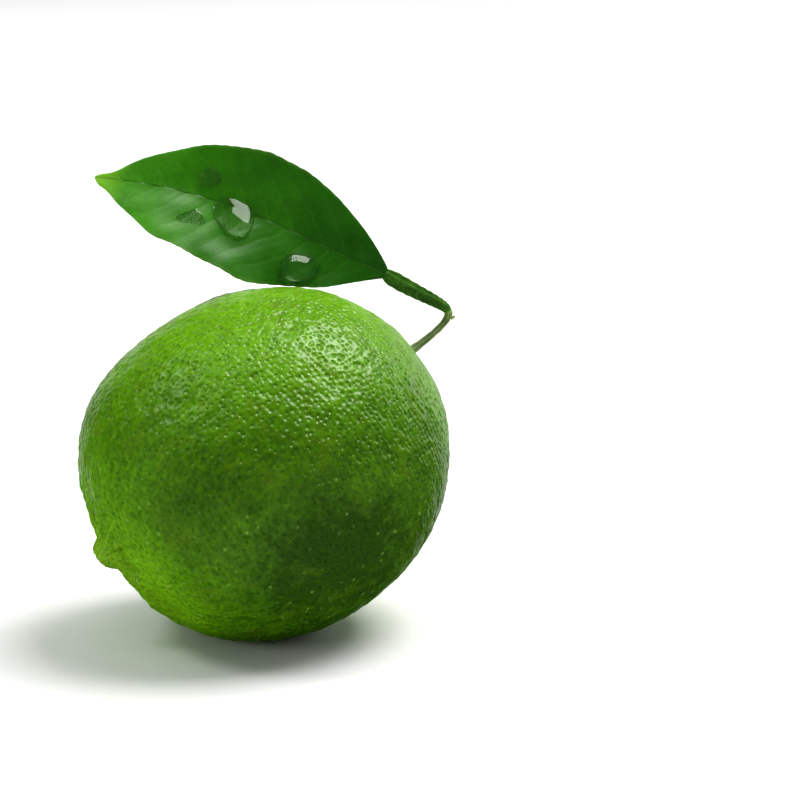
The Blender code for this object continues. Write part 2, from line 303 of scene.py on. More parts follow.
AXIS = direction(AXIS_HEADING, AXIS_PITCH)
STEM = direction(STEM_HEADING, STEM_PITCH)
NIPPLE = direction(NIPPLE_HEADING, NIPPLE_PITCH)
SCAR = direction(SCAR_HEADING, SCAR_PITCH)
SHADED_SIDE = direction(SHADED_SIDE_HEADING, SHADED_SIDE_PITCH)
TOWARDS_VIEWER = np.array([0.0, -1.0, 0.0])


# ---- meshes


def closed_tube(rings, start, end):
    """Points and faces of rings of points joined in order, with a fan to a pole at each end."""
    count, sides = rings.shape[:2]
    points = np.concatenate([rings.reshape(-1, 3), [start, end]])
    index = np.arange(count * sides).reshape(count, sides)
    after = np.roll(index, -1, axis=1)
    quads = np.stack([index[:-1], after[:-1], after[1:], index[1:]], axis=-1).reshape(-1, 4)
    first = np.stack([after[0], index[0], np.full(sides, count * sides)], axis=-1)
    last = np.stack([index[-1], after[-1], np.full(sides, count * sides + 1)], axis=-1)
    return points, quads, np.concatenate([first, last])


def enclosed(points, quads, fans):
    """The volume inside the faces, below zero if they point inwards."""
    triangles = np.concatenate([quads[:, [0, 1, 2]], quads[:, [0, 2, 3]], fans])
    a, b, c = (points[triangles[:, k]] for k in range(3))
    return np.sum(a * np.cross(b, c)) / 6.0


def make_piece(name, shape, look, slot, **marks):
    """The smooth-shaded object of the points and faces in shape, facing outwards, with its marks.

    It rides on the fruit's body and stands for the node of the same name. Marks are one value for each
    point, which the finish reads by name.
    """
    points, quads, fans = shape
    if enclosed(points, quads, fans) < 0.0:
        quads = quads[:, ::-1]
        fans = fans[:, ::-1]
    mesh = bpy.data.meshes.new(name)
    mesh.from_pydata(points.tolist(), [], quads.tolist() + fans.tolist())
    mesh.shade_smooth()
    mesh.materials.append(look)
    for mark, values in marks.items():
        mesh.attributes.new(mark, "FLOAT", "POINT").data.foreach_set("value", values.astype(np.float32))
    piece = bpy.data.objects.new("look_" + name, mesh)
    bpy.context.scene.collection.objects.link(piece)
    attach(piece, "root")
    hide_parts(name)
    return piece


def ball(cells):
    """Unit vectors and faces of a ball: a cube's faces cut by equal angles and pushed out to length 1."""
    steps = np.tan(np.linspace(-math.pi / 4.0, math.pi / 4.0, cells + 1))
    one, two = np.meshgrid(np.arange(cells + 1), np.arange(cells + 1), indexing="ij")
    quads = []
    for axis in range(3):
        for end in (0, cells):
            place = np.empty((cells + 1, cells + 1, 3), dtype=np.int64)
            place[..., axis] = end
            place[..., (axis + 1) % 3] = one
            place[..., (axis + 2) % 3] = two
            code = (place[..., 0] * (cells + 1) + place[..., 1]) * (cells + 1) + place[..., 2]
            loop = np.stack([code[:-1, :-1], code[1:, :-1], code[1:, 1:], code[:-1, 1:]], axis=-1)
            quads.append((loop if end else loop[..., ::-1]).reshape(-1, 4))
    codes, faces = np.unique(np.concatenate(quads), return_inverse=True)
    lattice = np.stack(np.unravel_index(codes, (cells + 1,) * 3), axis=-1)
    return unit(steps[lattice]), faces.reshape(-1, 4)


def bezier(start, start_pull, end_pull, end, steps):
    """Points along the cubic curve that leaves start for start_pull and reaches end from end_pull."""
    t = np.linspace(0.0, 1.0, steps)[:, None]
    rest = 1.0 - t
    return rest**3 * start + 3.0 * rest**2 * t * start_pull + 3.0 * rest * t**2 * end_pull + t**3 * end


def carried(path, face, sideways, outward):
    """Rings of points carried along a path: each point's reach sideways and outward from the path.

    Sideways is square to the path and to the face; outward is square to both and as near the face as it
    can be.
    """
    along = unit(np.gradient(path, axis=0))
    across = unit(np.cross(along, face))
    out = np.cross(across, along)
    return path[:, None] + sideways[..., None] * across[:, None] + outward[..., None] * out[:, None]


# ---- fruit


def fruit_radius(way):
    """How far the plain skin is from the fruit's centre along each unit vector.

    An ellipse turned round the axis, plus a bell-shaped shoulder that leans to one side, plus a blunt
    nipple with a shallow neck round it.
    """
    from_stem, round_axis = round_about(way, AXIS)
    across = np.sin(from_stem) * 2.0 / FRUIT_WIDTH
    lengthwise = np.cos(from_stem) * 2.0 / FRUIT_LENGTH
    oval = 1.0 / np.sqrt(across**2 + lengthwise**2)
    lean = 1.0 + SHOULDER_LEAN * np.cos(round_axis - math.radians(LEAN_TURN))
    shoulder = SHOULDER_RISE * lean * hump(np.degrees(from_stem), SHOULDER_PLACE, SHOULDER_SPREAD)
    across_tip = round_about(way, NIPPLE)[0] * FRUIT_LENGTH
    nipple = NIPPLE_HEIGHT * np.exp(-((across_tip / NIPPLE_WIDTH) ** 4))
    return oval + shoulder + nipple - NECK_DEPTH * hump(across_tip, NECK_WIDTH, NECK_SPREAD)


def skin(way, height=0.0):
    """The point that stands this high over the plain skin along each unit vector, from the centre."""
    return way * (fruit_radius(way) + height)[..., None]


def shift_into_box(points, node):
    """How far the points must move for the middle of their box to be the middle of a solid's box."""
    low, high = (np.array(corner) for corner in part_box(node))
    return (low + high) / 2.0 - (points.min(axis=0) + points.max(axis=0)) / 2.0


def fruit_centre():
    """The fruit's centre: the middle of the solid fruit's box, and its top for the height."""
    points = skin(ball(PLAIN_CELLS)[0])
    centre = shift_into_box(points, "fruit")
    centre[2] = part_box("fruit")[1][2] - points[:, 2].max()
    return centre


CENTRE = fruit_centre()


def either_kind(operation, for_arrays):
    """A function that works on arrays and, as one Math node, on shader values."""
    return lambda value: value.maths(operation, value) if isinstance(value, Value) else for_arrays(value)


floor_of = either_kind("FLOOR", np.floor)
sine_of = either_kind("SINE", np.sin)
e_to = either_kind("EXPONENT", np.exp)


def scatter(first, second, seed):
    """A scattered value from 0 to 1 for each pair of whole numbers: the fraction of a large sine."""
    large = sine_of(first * 12.9898 + second * 4.1414 + seed) * 97.31
    return large - floor_of(large)


def pit_depth(angle, about):
    """How deep the oil-gland pits are at an angle from the stem end and an angle round it, in radians.

    The pits lie in rings round the stem end, one spacing apart. Each is moved a little from its place,
    and is a bell-shaped bowl of its own width and depth. Only the four nearest can reach a point. The
    same formula serves the mesh, with arrays, and the peel's finish, with shader values.
    """
    size = FRUIT_WIDTH / 2.0
    rings = round(math.pi * size / PIT_SPACING)
    ring_place = angle * (rings / math.pi) - 0.5
    lowest_ring = floor_of(ring_place)
    depth = 0.0
    for ring_step in (0.0, 1.0):
        ring = lowest_ring + ring_step
        ring_size = abs(sine_of((ring + 0.5) * (math.pi / rings))) * size
        count = floor_of(ring_size * (2.0 * math.pi / PIT_SPACING) + 3.5)
        slot_place = (about * (0.5 / math.pi) + 0.5) * count - 0.5
        lowest_slot = floor_of(slot_place)
        for slot_step in (0.0, 1.0):
            slot = lowest_slot + slot_step
            wrapped = slot - floor_of(slot / count) * count
            down = ring_place - ring - PIT_STRAY * (scatter(ring, wrapped, 0.3) - 0.5)
            aside = slot_place - slot - PIT_STRAY * (scatter(ring, wrapped, 1.7) - 0.5)
            width = 1.0 + PIT_VARIETY * (scatter(ring, wrapped, 2.9) - 0.5)
            down = down * (PIT_SPACING / PIT_RADIUS)
            aside = aside * ring_size / count * (2.0 * math.pi / PIT_RADIUS)
            bowl = e_to((down * down + aside * aside) / (width * width) * -1.0)
            depth = depth + bowl * (PIT_LEAST + PIT_MORE * scatter(ring, wrapped, 4.1))
    return depth


def crease_height(points, about):
    """Creases that run out from the nipple: cosines of the angle round it that wander a little, -1 to 1."""
    height = np.zeros(len(points))
    for count in CREASE_COUNTS:
        wander = 0.5 * waves(points, 5, 0.010, 0.022)
        strength = 0.6 + 0.4 * waves(points, 6, 0.004, 0.010)
        phase = RANDOM.uniform(0.0, 2.0 * math.pi)
        height += strength * np.cos(count * about + wander + phase) / len(CREASE_COUNTS)
    return height


def furrow_depth(points, about):
    """Furrows that run into the stem end: squares of raised cosines of the angle round it, 0 to 1."""
    return (0.5 + 0.5 * np.cos(FURROWS * about + 0.8 * waves(points, 4, 0.008, 0.02))) ** 2


def make_fruit():
    """The peel: the plain skin with its relief, no lower than the floor, which leaves the flat spot.

    The relief is broad lumps, small ripples and a fine grain, less the pits, plus creases in a band
    round the nipple, less furrows in a band round the stem end, plus a scar on the nipple, a bowl
    inside a raised lip.
    """
    way, quads = ball(PEEL_CELLS)
    points = way * FRUIT_WIDTH / 2.0
    lumps = LUMP_HEIGHT * waves(points, 14, *LUMP_WAVES)
    lumps += RIPPLE_HEIGHT * waves(points, 24, *RIPPLE_WAVES)
    grain = GRAIN_HEIGHT * waves(points, 60, *GRAIN_WAVES)
    from_stem, round_stem = round_about(way, STEM)
    pit = pit_depth(from_stem, round_stem) * (0.75 + 0.25 * waves(points, 12, *PIT_WAVES))
    from_tip, round_tip = round_about(way, NIPPLE)
    from_tip = from_tip * FRUIT_LENGTH / 2.0
    from_stem = from_stem * FRUIT_LENGTH / 2.0
    from_scar = round_about(way, SCAR)[0] * FRUIT_LENGTH / 2.0
    crease = crease_height(points, round_tip) * hump(from_tip, CREASE_PLACE, CREASE_SPREAD)
    furrow = furrow_depth(points, round_stem) * hump(from_stem, FURROW_PLACE, FURROW_SPREAD)
    scar = SCAR_LIP * hump(from_scar, SCAR_RADIUS, SCAR_LIP_SPREAD)
    scar -= SCAR_DEPTH * hump(from_scar, 0.0, SCAR_BOWL_SPREAD)
    grain = grain * (1.0 + NIPPLE_GRAIN * hump(from_tip, 0.0, NIPPLE_GRAIN_SPREAD))
    relief = lumps + grain - PIT_DEPTH * pit + CREASE_HEIGHT * crease - FURROW_DEPTH * furrow + scar
    floor_reach = CENTRE[2] / np.maximum(-way[:, 2], 1e-6)
    radius = np.minimum(fruit_radius(way) + relief, floor_reach)
    shape = (CENTRE + way * radius[:, None], quads, np.empty((0, 3), dtype=int))
    marks = {
        "tip": hump(from_tip, 0.0, PALE_TIP_SPREAD),
        "crease": crease,
        "scar": hump(from_scar, 0.0, SCAR_RADIUS),
    }
    make_piece("fruit", shape, peel_finish(), "lime_peel", **marks)


# ---- calyx


def make_calyx():
    """Rings round the stem end from the collar's middle out to the lobes' edge, then under it.

    The height is a collar, a rim that rounds off at the edge, a ridge down each lobe and wrinkles; the
    reach is a five-lobed circle with a ragged edge.
    """
    side = upright_side(STEM)
    other = np.cross(STEM, side)
    turn = full_turn(CALYX_SIDES)[None, :]
    spread = np.concatenate([np.linspace(0.04, 0.94, 38), [0.97, 0.99, 1.0]])[:, None]
    lobes = 1.0 - CALYX_LOBE_CUT * (1.0 - np.cos(CALYX_LOBES * turn)) / 2.0
    ragged = sum(share * np.cos(count * turn + start) for share, count, start in CALYX_RAGGED)
    out = spread * CALYX_WIDTH / 2.0 * (lobes + ragged) / fruit_radius(STEM)
    ring_way = np.cos(turn)[..., None] * side + np.sin(turn)[..., None] * other
    way = unit(STEM + out[..., None] * ring_way)
    collar = CALYX_RISE * np.exp(-((spread * CALYX_WIDTH / CALYX_COLLAR) ** 4))
    rim = CALYX_RIM * np.sqrt(np.clip(1.0 - spread**6, 0.0, 1.0))
    ridge = CALYX_RIDGE * (0.5 + 0.5 * np.cos(CALYX_LOBES * turn)) ** 3 * hump(spread, 0.62, 0.25)
    wrinkle = CALYX_WRINKLE * np.cos(23 * turn + 5.0 * spread) * hump(spread, 0.7, 0.3)
    wrinkle = wrinkle + CALYX_GRAIN * waves(way * FRUIT_WIDTH / 2.0, 20, *CALYX_GRAIN_WAVES)
    top = CENTRE + skin(way, collar + rim + ridge + wrinkle)
    under = CENTRE + skin(way[-1:], -CALYX_ROOT)
    rings = np.concatenate([top, under])
    peak = CENTRE + skin(STEM, CALYX_RIM + CALYX_RISE)
    bottom = CENTRE + skin(STEM, -1.5 * CALYX_ROOT)
    outer = np.concatenate([np.repeat(spread, CALYX_SIDES), np.ones(CALYX_SIDES), [0.0, 1.0]])
    make_piece("calyx", closed_tube(rings, peak, bottom), calyx_finish(), "calyx", outer=outer)


# ---- leaf


class Leaf:
    """The blade: where it lies, and the points on its midrib and its two faces.

    Twist is how far its face turns from base to tip; flatness is how much of the fold the ends lose.
    """

    def __init__(self, base, twist, flatness):
        self.base = base
        self.twist = twist
        self.flatness = flatness
        self.chord = direction(LEAF_HEADING, LEAF_PITCH)
        self.up = upright_side(self.chord)
        self.front = np.cross(self.up, self.chord)

    def facing(self, along):
        """The way the blade faces and the way across it, which turn steadily from the base to the tip."""
        tilt = np.radians(LEAF_FACE_TILT + self.twist * (along - LEAF_TWIST_MIDDLE))[..., None]
        normal = np.cos(tilt) * self.front + np.sin(tilt) * self.up
        return normal, np.cos(tilt) * self.up - np.sin(tilt) * self.front

    def midrib(self, along):
        """Points on the midrib at shares of the length: a line with a sine arch across and a sine bow."""
        arch = LEAF_ARCH * np.sin(math.pi * along**LEAF_ARCH_LEAN)
        bow = LEAF_BOW * np.sin(math.pi * along)
        line = along[..., None] * LEAF_LENGTH * self.chord
        normal, across = self.facing(np.array(LEAF_TWIST_MIDDLE))
        return self.base + line + arch[..., None] * across + bow[..., None] * normal

    def half_width(self, along, side):
        """The blade's width on one side of the midrib.

        It is a product of powers of along and 1 - along, plus bell-shaped swells and dips of the edge,
        plus half the width of the cut base and of the blunt tip.
        """
        upper = side > 0.0
        full = np.where(upper, LEAF_UPPER_WIDTH, LEAF_LOWER_WIDTH)
        start = np.where(upper, LEAF_UPPER_SHAPE[0], LEAF_LOWER_SHAPE[0])
        end = np.where(upper, LEAF_UPPER_SHAPE[1], LEAF_LOWER_SHAPE[1])
        widest = start / (start + end)
        shape = along**start * (1.0 - along) ** end
        width = full * shape / (widest**start * (1.0 - widest) ** end)
        for side_of, swells in ((1.0, UPPER_EDGE_SWELLS), (-1.0, LOWER_EDGE_SWELLS)):
            for place, spread, height in swells:
                width = width + np.where(side * side_of > 0.0, height * hump(along, place, spread), 0.0)
        from_tip = np.clip(1.0 - along, 0.0, LEAF_TIP_SHARE) / LEAF_TIP_SHARE
        blunt = LEAF_TIP_WIDTH * np.sqrt(from_tip) * np.clip(along, 0.0, 1.0) ** 9
        return np.maximum(width, 0.0) + LEAF_BASE_WIDTH / 2.0 * (1.0 - along) ** 9 + blunt

    def face(self, along, side, height=0.0):
        """Points over the middle of the blade's thickness; side runs from -1 to 1 across the blade.

        The blade folds up on both sides of the midrib, most in its middle, and its edge waves, curls up
        near the base on the lower side and is cut into small teeth.
        """
        circles = 2.0 * math.pi * along
        teeth = 0.5 + 0.5 * np.cos(circles * LEAF_LENGTH / TOOTH_SPACING + 3.0 * np.sin(9.0 * along))
        teeth = TOOTH_DEPTH * teeth**2 * np.abs(side) ** 14 * np.sin(math.pi * along)
        out = self.half_width(along, side) * side - np.sign(side) * teeth
        round_fold = np.sqrt(out**2 + LEAF_FOLD_ROUND**2) - LEAF_FOLD_ROUND
        folded = 1.0 - self.flatness * (1.0 - hump(along, LEAF_FOLD_PLACE, LEAF_FOLD_SPREAD))
        fold = math.tan(math.radians(LEAF_FOLD)) * folded * round_fold
        wave = LEAF_WAVE * side**2 * np.sin(circles * LEAF_WAVES + 1.5 * np.sign(side))
        ruffle = LEAF_RUFFLE * side**6 * np.sin(circles * LEAF_RUFFLES + 2.0 * side)
        curl = np.where(side < 0.0, np.clip((np.abs(side) - 0.6) / 0.4, 0.0, 1.0) ** 2, 0.0)
        curl = CURL_HEIGHT * curl * hump(along, CURL_PLACE, CURL_SPREAD)
        lift = fold + (wave + ruffle) * np.sin(math.pi * along) + curl + height
        normal, across = self.facing(along + 0.0 * side)
        return self.midrib(along) + out[..., None] * across + lift[..., None] * normal

    def midrib_point(self, along):
        """The point in the middle of the blade's thickness at one place on the midrib."""
        return self.face(np.array(along), np.array(0.0))


def vein_pattern(leaf, along, side):
    """How near each point is to a side vein, 1 on it, and where it lies between two of them, 0 to 1.

    A side vein is the curve along = start + slant * out + curve * out squared; the starts lie one spacing
    apart along the midrib and differ between the two halves. Fainter veins lie between them. The way
    straight across a vein is shorter than the way along the midrib.
    """
    out = leaf.half_width(along, side) * np.abs(side)
    wobble = 0.16 * np.sin(17.0 * along + 4.0 * np.sign(side)) + 0.03 * np.sin(out * 900.0 + 31.0 * along)
    lengthwise = along * LEAF_LENGTH - VEIN_SLANT * out - VEIN_CURVE * out**2
    count = lengthwise / VEIN_SPACING + wobble + np.where(side > 0.0, 0.15, 0.6)
    apart = np.abs(count - np.round(count))
    fade = np.clip(1.15 - np.abs(side), 0.0, 1.0) ** 0.6
    across_vein = VEIN_SPACING * VEIN_CROSSING
    vein = hump(apart * across_vein, 0.0, VEIN_WIDTH) * fade
    small = np.abs(count * MINOR_VEINS - np.round(count * MINOR_VEINS)) / MINOR_VEINS
    minor = hump(small * across_vein, 0.0, VEIN_WIDTH * 0.6) * fade * 0.35
    return np.maximum(vein, minor), np.sin(math.pi * apart) ** 2


def make_leaf(leaf):
    """A closed shell of stations along the blade, each a ring over its upper face and back under it.

    Above, the midrib and the side veins are grooves and the blade swells between them. Below, they are
    ribs.
    """
    share = np.linspace(0.0, 1.0, LEAF_STATIONS + 2)[:-1]
    stations = share - 0.35 * np.sin(2.0 * math.pi * share) / (2.0 * math.pi)
    sides = np.linspace(-1.0, 1.0, LEAF_SIDES)
    along, side = np.meshgrid(stations, sides, indexing="ij")
    out = leaf.half_width(along, side) * np.abs(side)
    vein, between = vein_pattern(leaf, along, side)
    taper = (1.0 - along) ** 0.6
    rib = hump(out, 0.0, RIB_WIDTH * (0.35 + 0.65 * taper))
    inner = np.clip(1.0 - side**4, 0.0, 1.0) * np.sin(math.pi * np.clip(along, 0.0, 1.0)) ** 0.5
    dents = DENT_HEIGHT * waves(leaf.face(along, side), 16, *DENT_WAVES)
    quilt = (QUILT_HEIGHT * between + dents) * inner
    thick = LEAF_EDGE_THICKNESS + (LEAF_THICKNESS - LEAF_EDGE_THICKNESS) * (1.0 - side**6)
    above = quilt - VEIN_DEPTH * vein * inner - RIB_GROOVE * rib * taper
    below = quilt * 0.7 - VEIN_DEPTH * 1.8 * vein * inner - RIB_HEIGHT * rib * taper
    upper = leaf.face(along, side, above + thick / 2.0)
    lower = leaf.face(along, side, below - thick / 2.0)
    rings = np.concatenate([upper, lower[:, ::-1]], axis=1)
    start = leaf.midrib_point(0.0) - leaf.chord * 0.0002
    tip = leaf.midrib_point(1.0) + leaf.chord * 0.0001

    def both(upper_values, lower_values):
        """One value for each point of the rings and the two poles."""
        ringed = np.concatenate([upper_values, lower_values[:, ::-1]], axis=1)
        return np.concatenate([ringed.ravel(), [ringed[0].mean(), ringed[-1].mean()]])

    marks = {
        "vein": both(vein, vein),
        "rib": both(rib, rib),
        "along": both(along, along),
        "side": both(side, side),
        "underside": both(np.zeros_like(side), np.ones_like(side)),
    }
    make_piece("leaf_blade", closed_tube(rings, start, tip), leaf_finish(), "leaf", **marks)


def packed_leaf():
    """The leaf, with its base where the box of its plain outline fits the solid leaf's box."""
    leaf = Leaf(np.zeros(3), 0.0, 0.0)
    along, side = np.meshgrid(np.linspace(0.0, 0.99, 120), np.linspace(-1.0, 1.0, 41), indexing="ij")
    base = shift_into_box(leaf.face(along, side).reshape(-1, 3), "leaf_blade")
    return Leaf(base, LEAF_TWIST, LEAF_FLATNESS)


# ---- stalks and bud


def make_fruit_stalk(bend, bend_way):
    """A ridged round stalk from inside the collar to the bend, where it swells and ends in a dome."""
    foot = CENTRE + skin(STEM, CALYX_RIM + CALYX_RISE - STALK_ROOT)
    reach = np.linalg.norm(bend - foot)
    foot_pull = foot + STEM * reach * 0.4
    bend_pull = bend - bend_way * reach * 0.2
    path = bezier(foot, foot_pull, bend_pull, bend, STALK_STATIONS)
    dome = np.linspace(0.0, 0.985, STALK_DOME_STATIONS)
    beyond = bend + bend_way * (dome * STALK_END_WIDTH * 0.42)[:, None]
    path = np.concatenate([path[:-1], beyond])
    share = np.minimum(np.linspace(0.0, 1.0, len(path)) * len(path) / STALK_STATIONS, 1.0)
    widths = STALK_WIDTH + (STALK_START_WIDTH - STALK_WIDTH) * (1.0 - share) ** 4
    widths = widths + (STALK_END_WIDTH - STALK_WIDTH) * share**6
    widths[-STALK_DOME_STATIONS:] *= np.sqrt(1.0 - dome**2)
    turn = full_turn(STALK_SIDES)[None, :]
    place = share[:, None]
    twist = 1.5 * place
    ridges = 0.055 * np.cos(STALK_RIDGES * turn + twist) + 0.03 * np.cos(12 * turn - twist + 1.0)
    knobs = 0.03 * np.cos(31.0 * place + 2.0 * turn) + 0.02 * np.cos(53.0 * place - 3.0 * turn)
    radius = widths[:, None] / 2.0 * (1.0 + ridges + knobs)
    rings = carried(path, TOWARDS_VIEWER, radius * np.cos(turn), radius * np.sin(turn))
    end = path[-1] + bend_way * STALK_END_WIDTH * 0.01
    lengthwise = np.concatenate([np.repeat(share, STALK_SIDES), [0.0, 1.0]])
    ridge = np.concatenate([(ridges / 0.085).ravel(), [0.0, 0.0]])
    shape = closed_tube(rings, foot - STEM * 0.0001, end)
    make_piece("fruit_stalk", shape, stalk_finish(), "fruit_stalk", lengthwise=lengthwise, ridge=ridge)


def make_leaf_stalk(leaf, bend, bend_way):
    """A stalk with a thick middle and thin wings, channelled above, that draws in at both ends.

    Across, the half thickness is a bell curve over a thin wing, rounded at the edge; above, a narrower
    bell curve is taken off for the channel. A groove rings it at the joint with the blade.
    """
    end = leaf.midrib_point(0.0) + leaf.chord * LEAF_STALK_OVERLAP
    reach = np.linalg.norm(end - bend)
    bend_pull = bend + bend_way * reach * 0.1
    end_pull = end - (end - bend) * 0.6
    path = bezier(bend, bend_pull, end_pull, end, LEAF_STALK_STATIONS)
    share = np.linspace(0.0, 1.0, LEAF_STALK_STATIONS)
    wing = np.clip((share - 0.1) / 0.75, 0.0, 1.0) ** 0.8
    widths = LEAF_STALK_START_WIDTH + (LEAF_STALK_WING_WIDTH - LEAF_STALK_START_WIDTH) * wing
    widths = widths - (LEAF_STALK_WING_WIDTH - LEAF_STALK_JOINT_WIDTH) * share**34
    turn = full_turn(LEAF_STALK_SIDES)[None, :]
    sideways = np.cos(turn)
    wide = widths[:, None] / 2.0 * sideways * (1.0 + 0.03 * np.cos(70.0 * share[:, None] + turn))
    edge = np.sqrt(np.clip(1.0 - sideways**8, 0.0, 1.0)) * np.sign(np.sin(turn))
    joint = 1.0 - JOINT_CUT * hump(share, JOINT_PLACE, JOINT_SPREAD)[:, None]
    core = LEAF_STALK_THICKNESS * joint * hump(wide, 0.0, LEAF_STALK_CORE)
    thick = (LEAF_STALK_WING_THICKNESS + core) / 2.0
    thick = thick * (1.0 + 0.04 * np.cos(45.0 * share[:, None] + 2.0 * turn))
    channel = np.where(np.sin(turn) > 0.0, CHANNEL_DEPTH, 0.0) * hump(wide, 0.0, CHANNEL_WIDTH)
    rings = carried(path, leaf.facing(np.array(0.0))[0], wide, edge * thick - channel)
    shape = closed_tube(rings, path[0], path[-1])
    lengthwise = np.concatenate([np.repeat(share, LEAF_STALK_SIDES), [0.0, 1.0]])
    wing_edge = np.concatenate([np.tile(np.abs(sideways).ravel(), len(path)), [0.0, 0.0]])
    marks = {"lengthwise": lengthwise, "wing": wing_edge}
    make_piece("leaf_stalk", shape, leaf_stalk_finish(), "leaf_stalk", **marks)


def make_bud(bend, bend_way):
    """A small pointed bud of overlapping scales: a rounded cone whose radius steps in at each scale."""
    outward = unit(direction(0.0, 10.0) + 0.25 * bend_way)
    start = bend + outward * (STALK_END_WIDTH / 2.0 - 0.0003) - bend_way * STALK_END_WIDTH * 0.8
    share = np.linspace(0.0, 0.99, BUD_STATIONS)
    path = start + share[:, None] * (BUD_LENGTH + 0.0002) * outward
    turn = full_turn(BUD_SIDES)[None, :]
    scale = (share[:, None] * BUD_SCALES + 0.35 * np.cos(turn + 1.0) + 0.15 * np.cos(2.0 * turn)) % 1.0
    body = BUD_WIDTH / 2.0 * np.sqrt(1.0 - share**2) * (1.0 - 0.3 * share)
    radius = body[:, None] * (1.0 + BUD_SCALE_STEP * scale)
    rings = carried(path, TOWARDS_VIEWER, radius * np.cos(turn), radius * np.sin(turn))
    scales = np.concatenate([scale.ravel(), [0.0, 0.0]])
    shape = closed_tube(rings, path[0], path[-1] + outward * 0.00001)
    make_piece("bud", shape, bud_finish(), "bud", scale=scales)


# ---- water


def make_drop(name, leaf, place, side, length, width, height, stray, lean, finish):
    """A low dome of water with a wandering edge, whose underside lies a little inside the leaf.

    The height is a power of 1 - spread squared, steep at the edge; the edge strays from an oval by
    cosines of the angle round it, and the rings draw in towards a top that leans to one side.
    """
    turn = full_turn(DROP_SIDES)
    full = leaf.half_width(np.array(place), np.array(side))
    phases = RANDOM.uniform(0.0, 2.0 * math.pi, 3)
    edge = 1.0 + stray * (np.cos(2.0 * turn + phases[0]) + 0.7 * np.cos(3.0 * turn + phases[1]))
    edge = edge + stray * 0.35 * np.cos(5.0 * turn + phases[2])
    spread = np.sin(np.linspace(0.03, math.pi / 2.0, DROP_RINGS))
    spread = np.concatenate([spread, [1.0]])[:, None]
    drawn_in = 1.0 - spread**2
    along = place + (spread * edge * np.cos(turn) + lean[0] * drawn_in) * length / 2.0 / LEAF_LENGTH
    across = side + (spread * edge * np.sin(turn) + lean[1] * drawn_in) * width / 2.0 / full
    dome = height * drawn_in**0.7 + 0.0 * turn
    over = LEAF_THICKNESS / 2.0 + dome + DROP_CLEARANCE
    over[-1] = -DROP_SINK
    rings = leaf.face(along, across, over)
    top = rings[0].mean(axis=0)
    bottom = leaf.face(np.array(place), np.array(side), -DROP_SINK)
    make_piece(name, closed_tube(rings, top, bottom), finish, "water")


# ---- finishes


class Value:
    """A shader socket that Python arithmetic works on: each operator adds a Math node."""

    def __init__(self, finish, socket):
        self.finish = finish
        self.socket = socket

    def maths(self, operation, first, second=0.0):
        """One Math node."""
        return self.finish.maths(operation, first, second)

    def __add__(self, other):
        return self.maths("ADD", self, other)

    def __radd__(self, other):
        return self.maths("ADD", other, self)

    def __sub__(self, other):
        return self.maths("SUBTRACT", self, other)

    def __rsub__(self, other):
        return self.maths("SUBTRACT", other, self)

    def __mul__(self, other):
        return self.maths("MULTIPLY", self, other)

    def __rmul__(self, other):
        return self.maths("MULTIPLY", other, self)

    def __truediv__(self, other):
        return self.maths("DIVIDE", self, other)

    def __abs__(self):
        return self.maths("ABSOLUTE", self)

    def between(self, low, high):
        """0 at low and below, 1 at high and above, and straight between them."""
        sockets = {"Value": self, "From Min": low, "From Max": high}
        return self.finish.node("ShaderNodeMapRange", {"clamp": True}, sockets)


def opaque(colour):
    """A colour with full cover, as sockets take it; a Value is left as it is."""
    return colour if isinstance(colour, Value) else (*colour, 1.0)


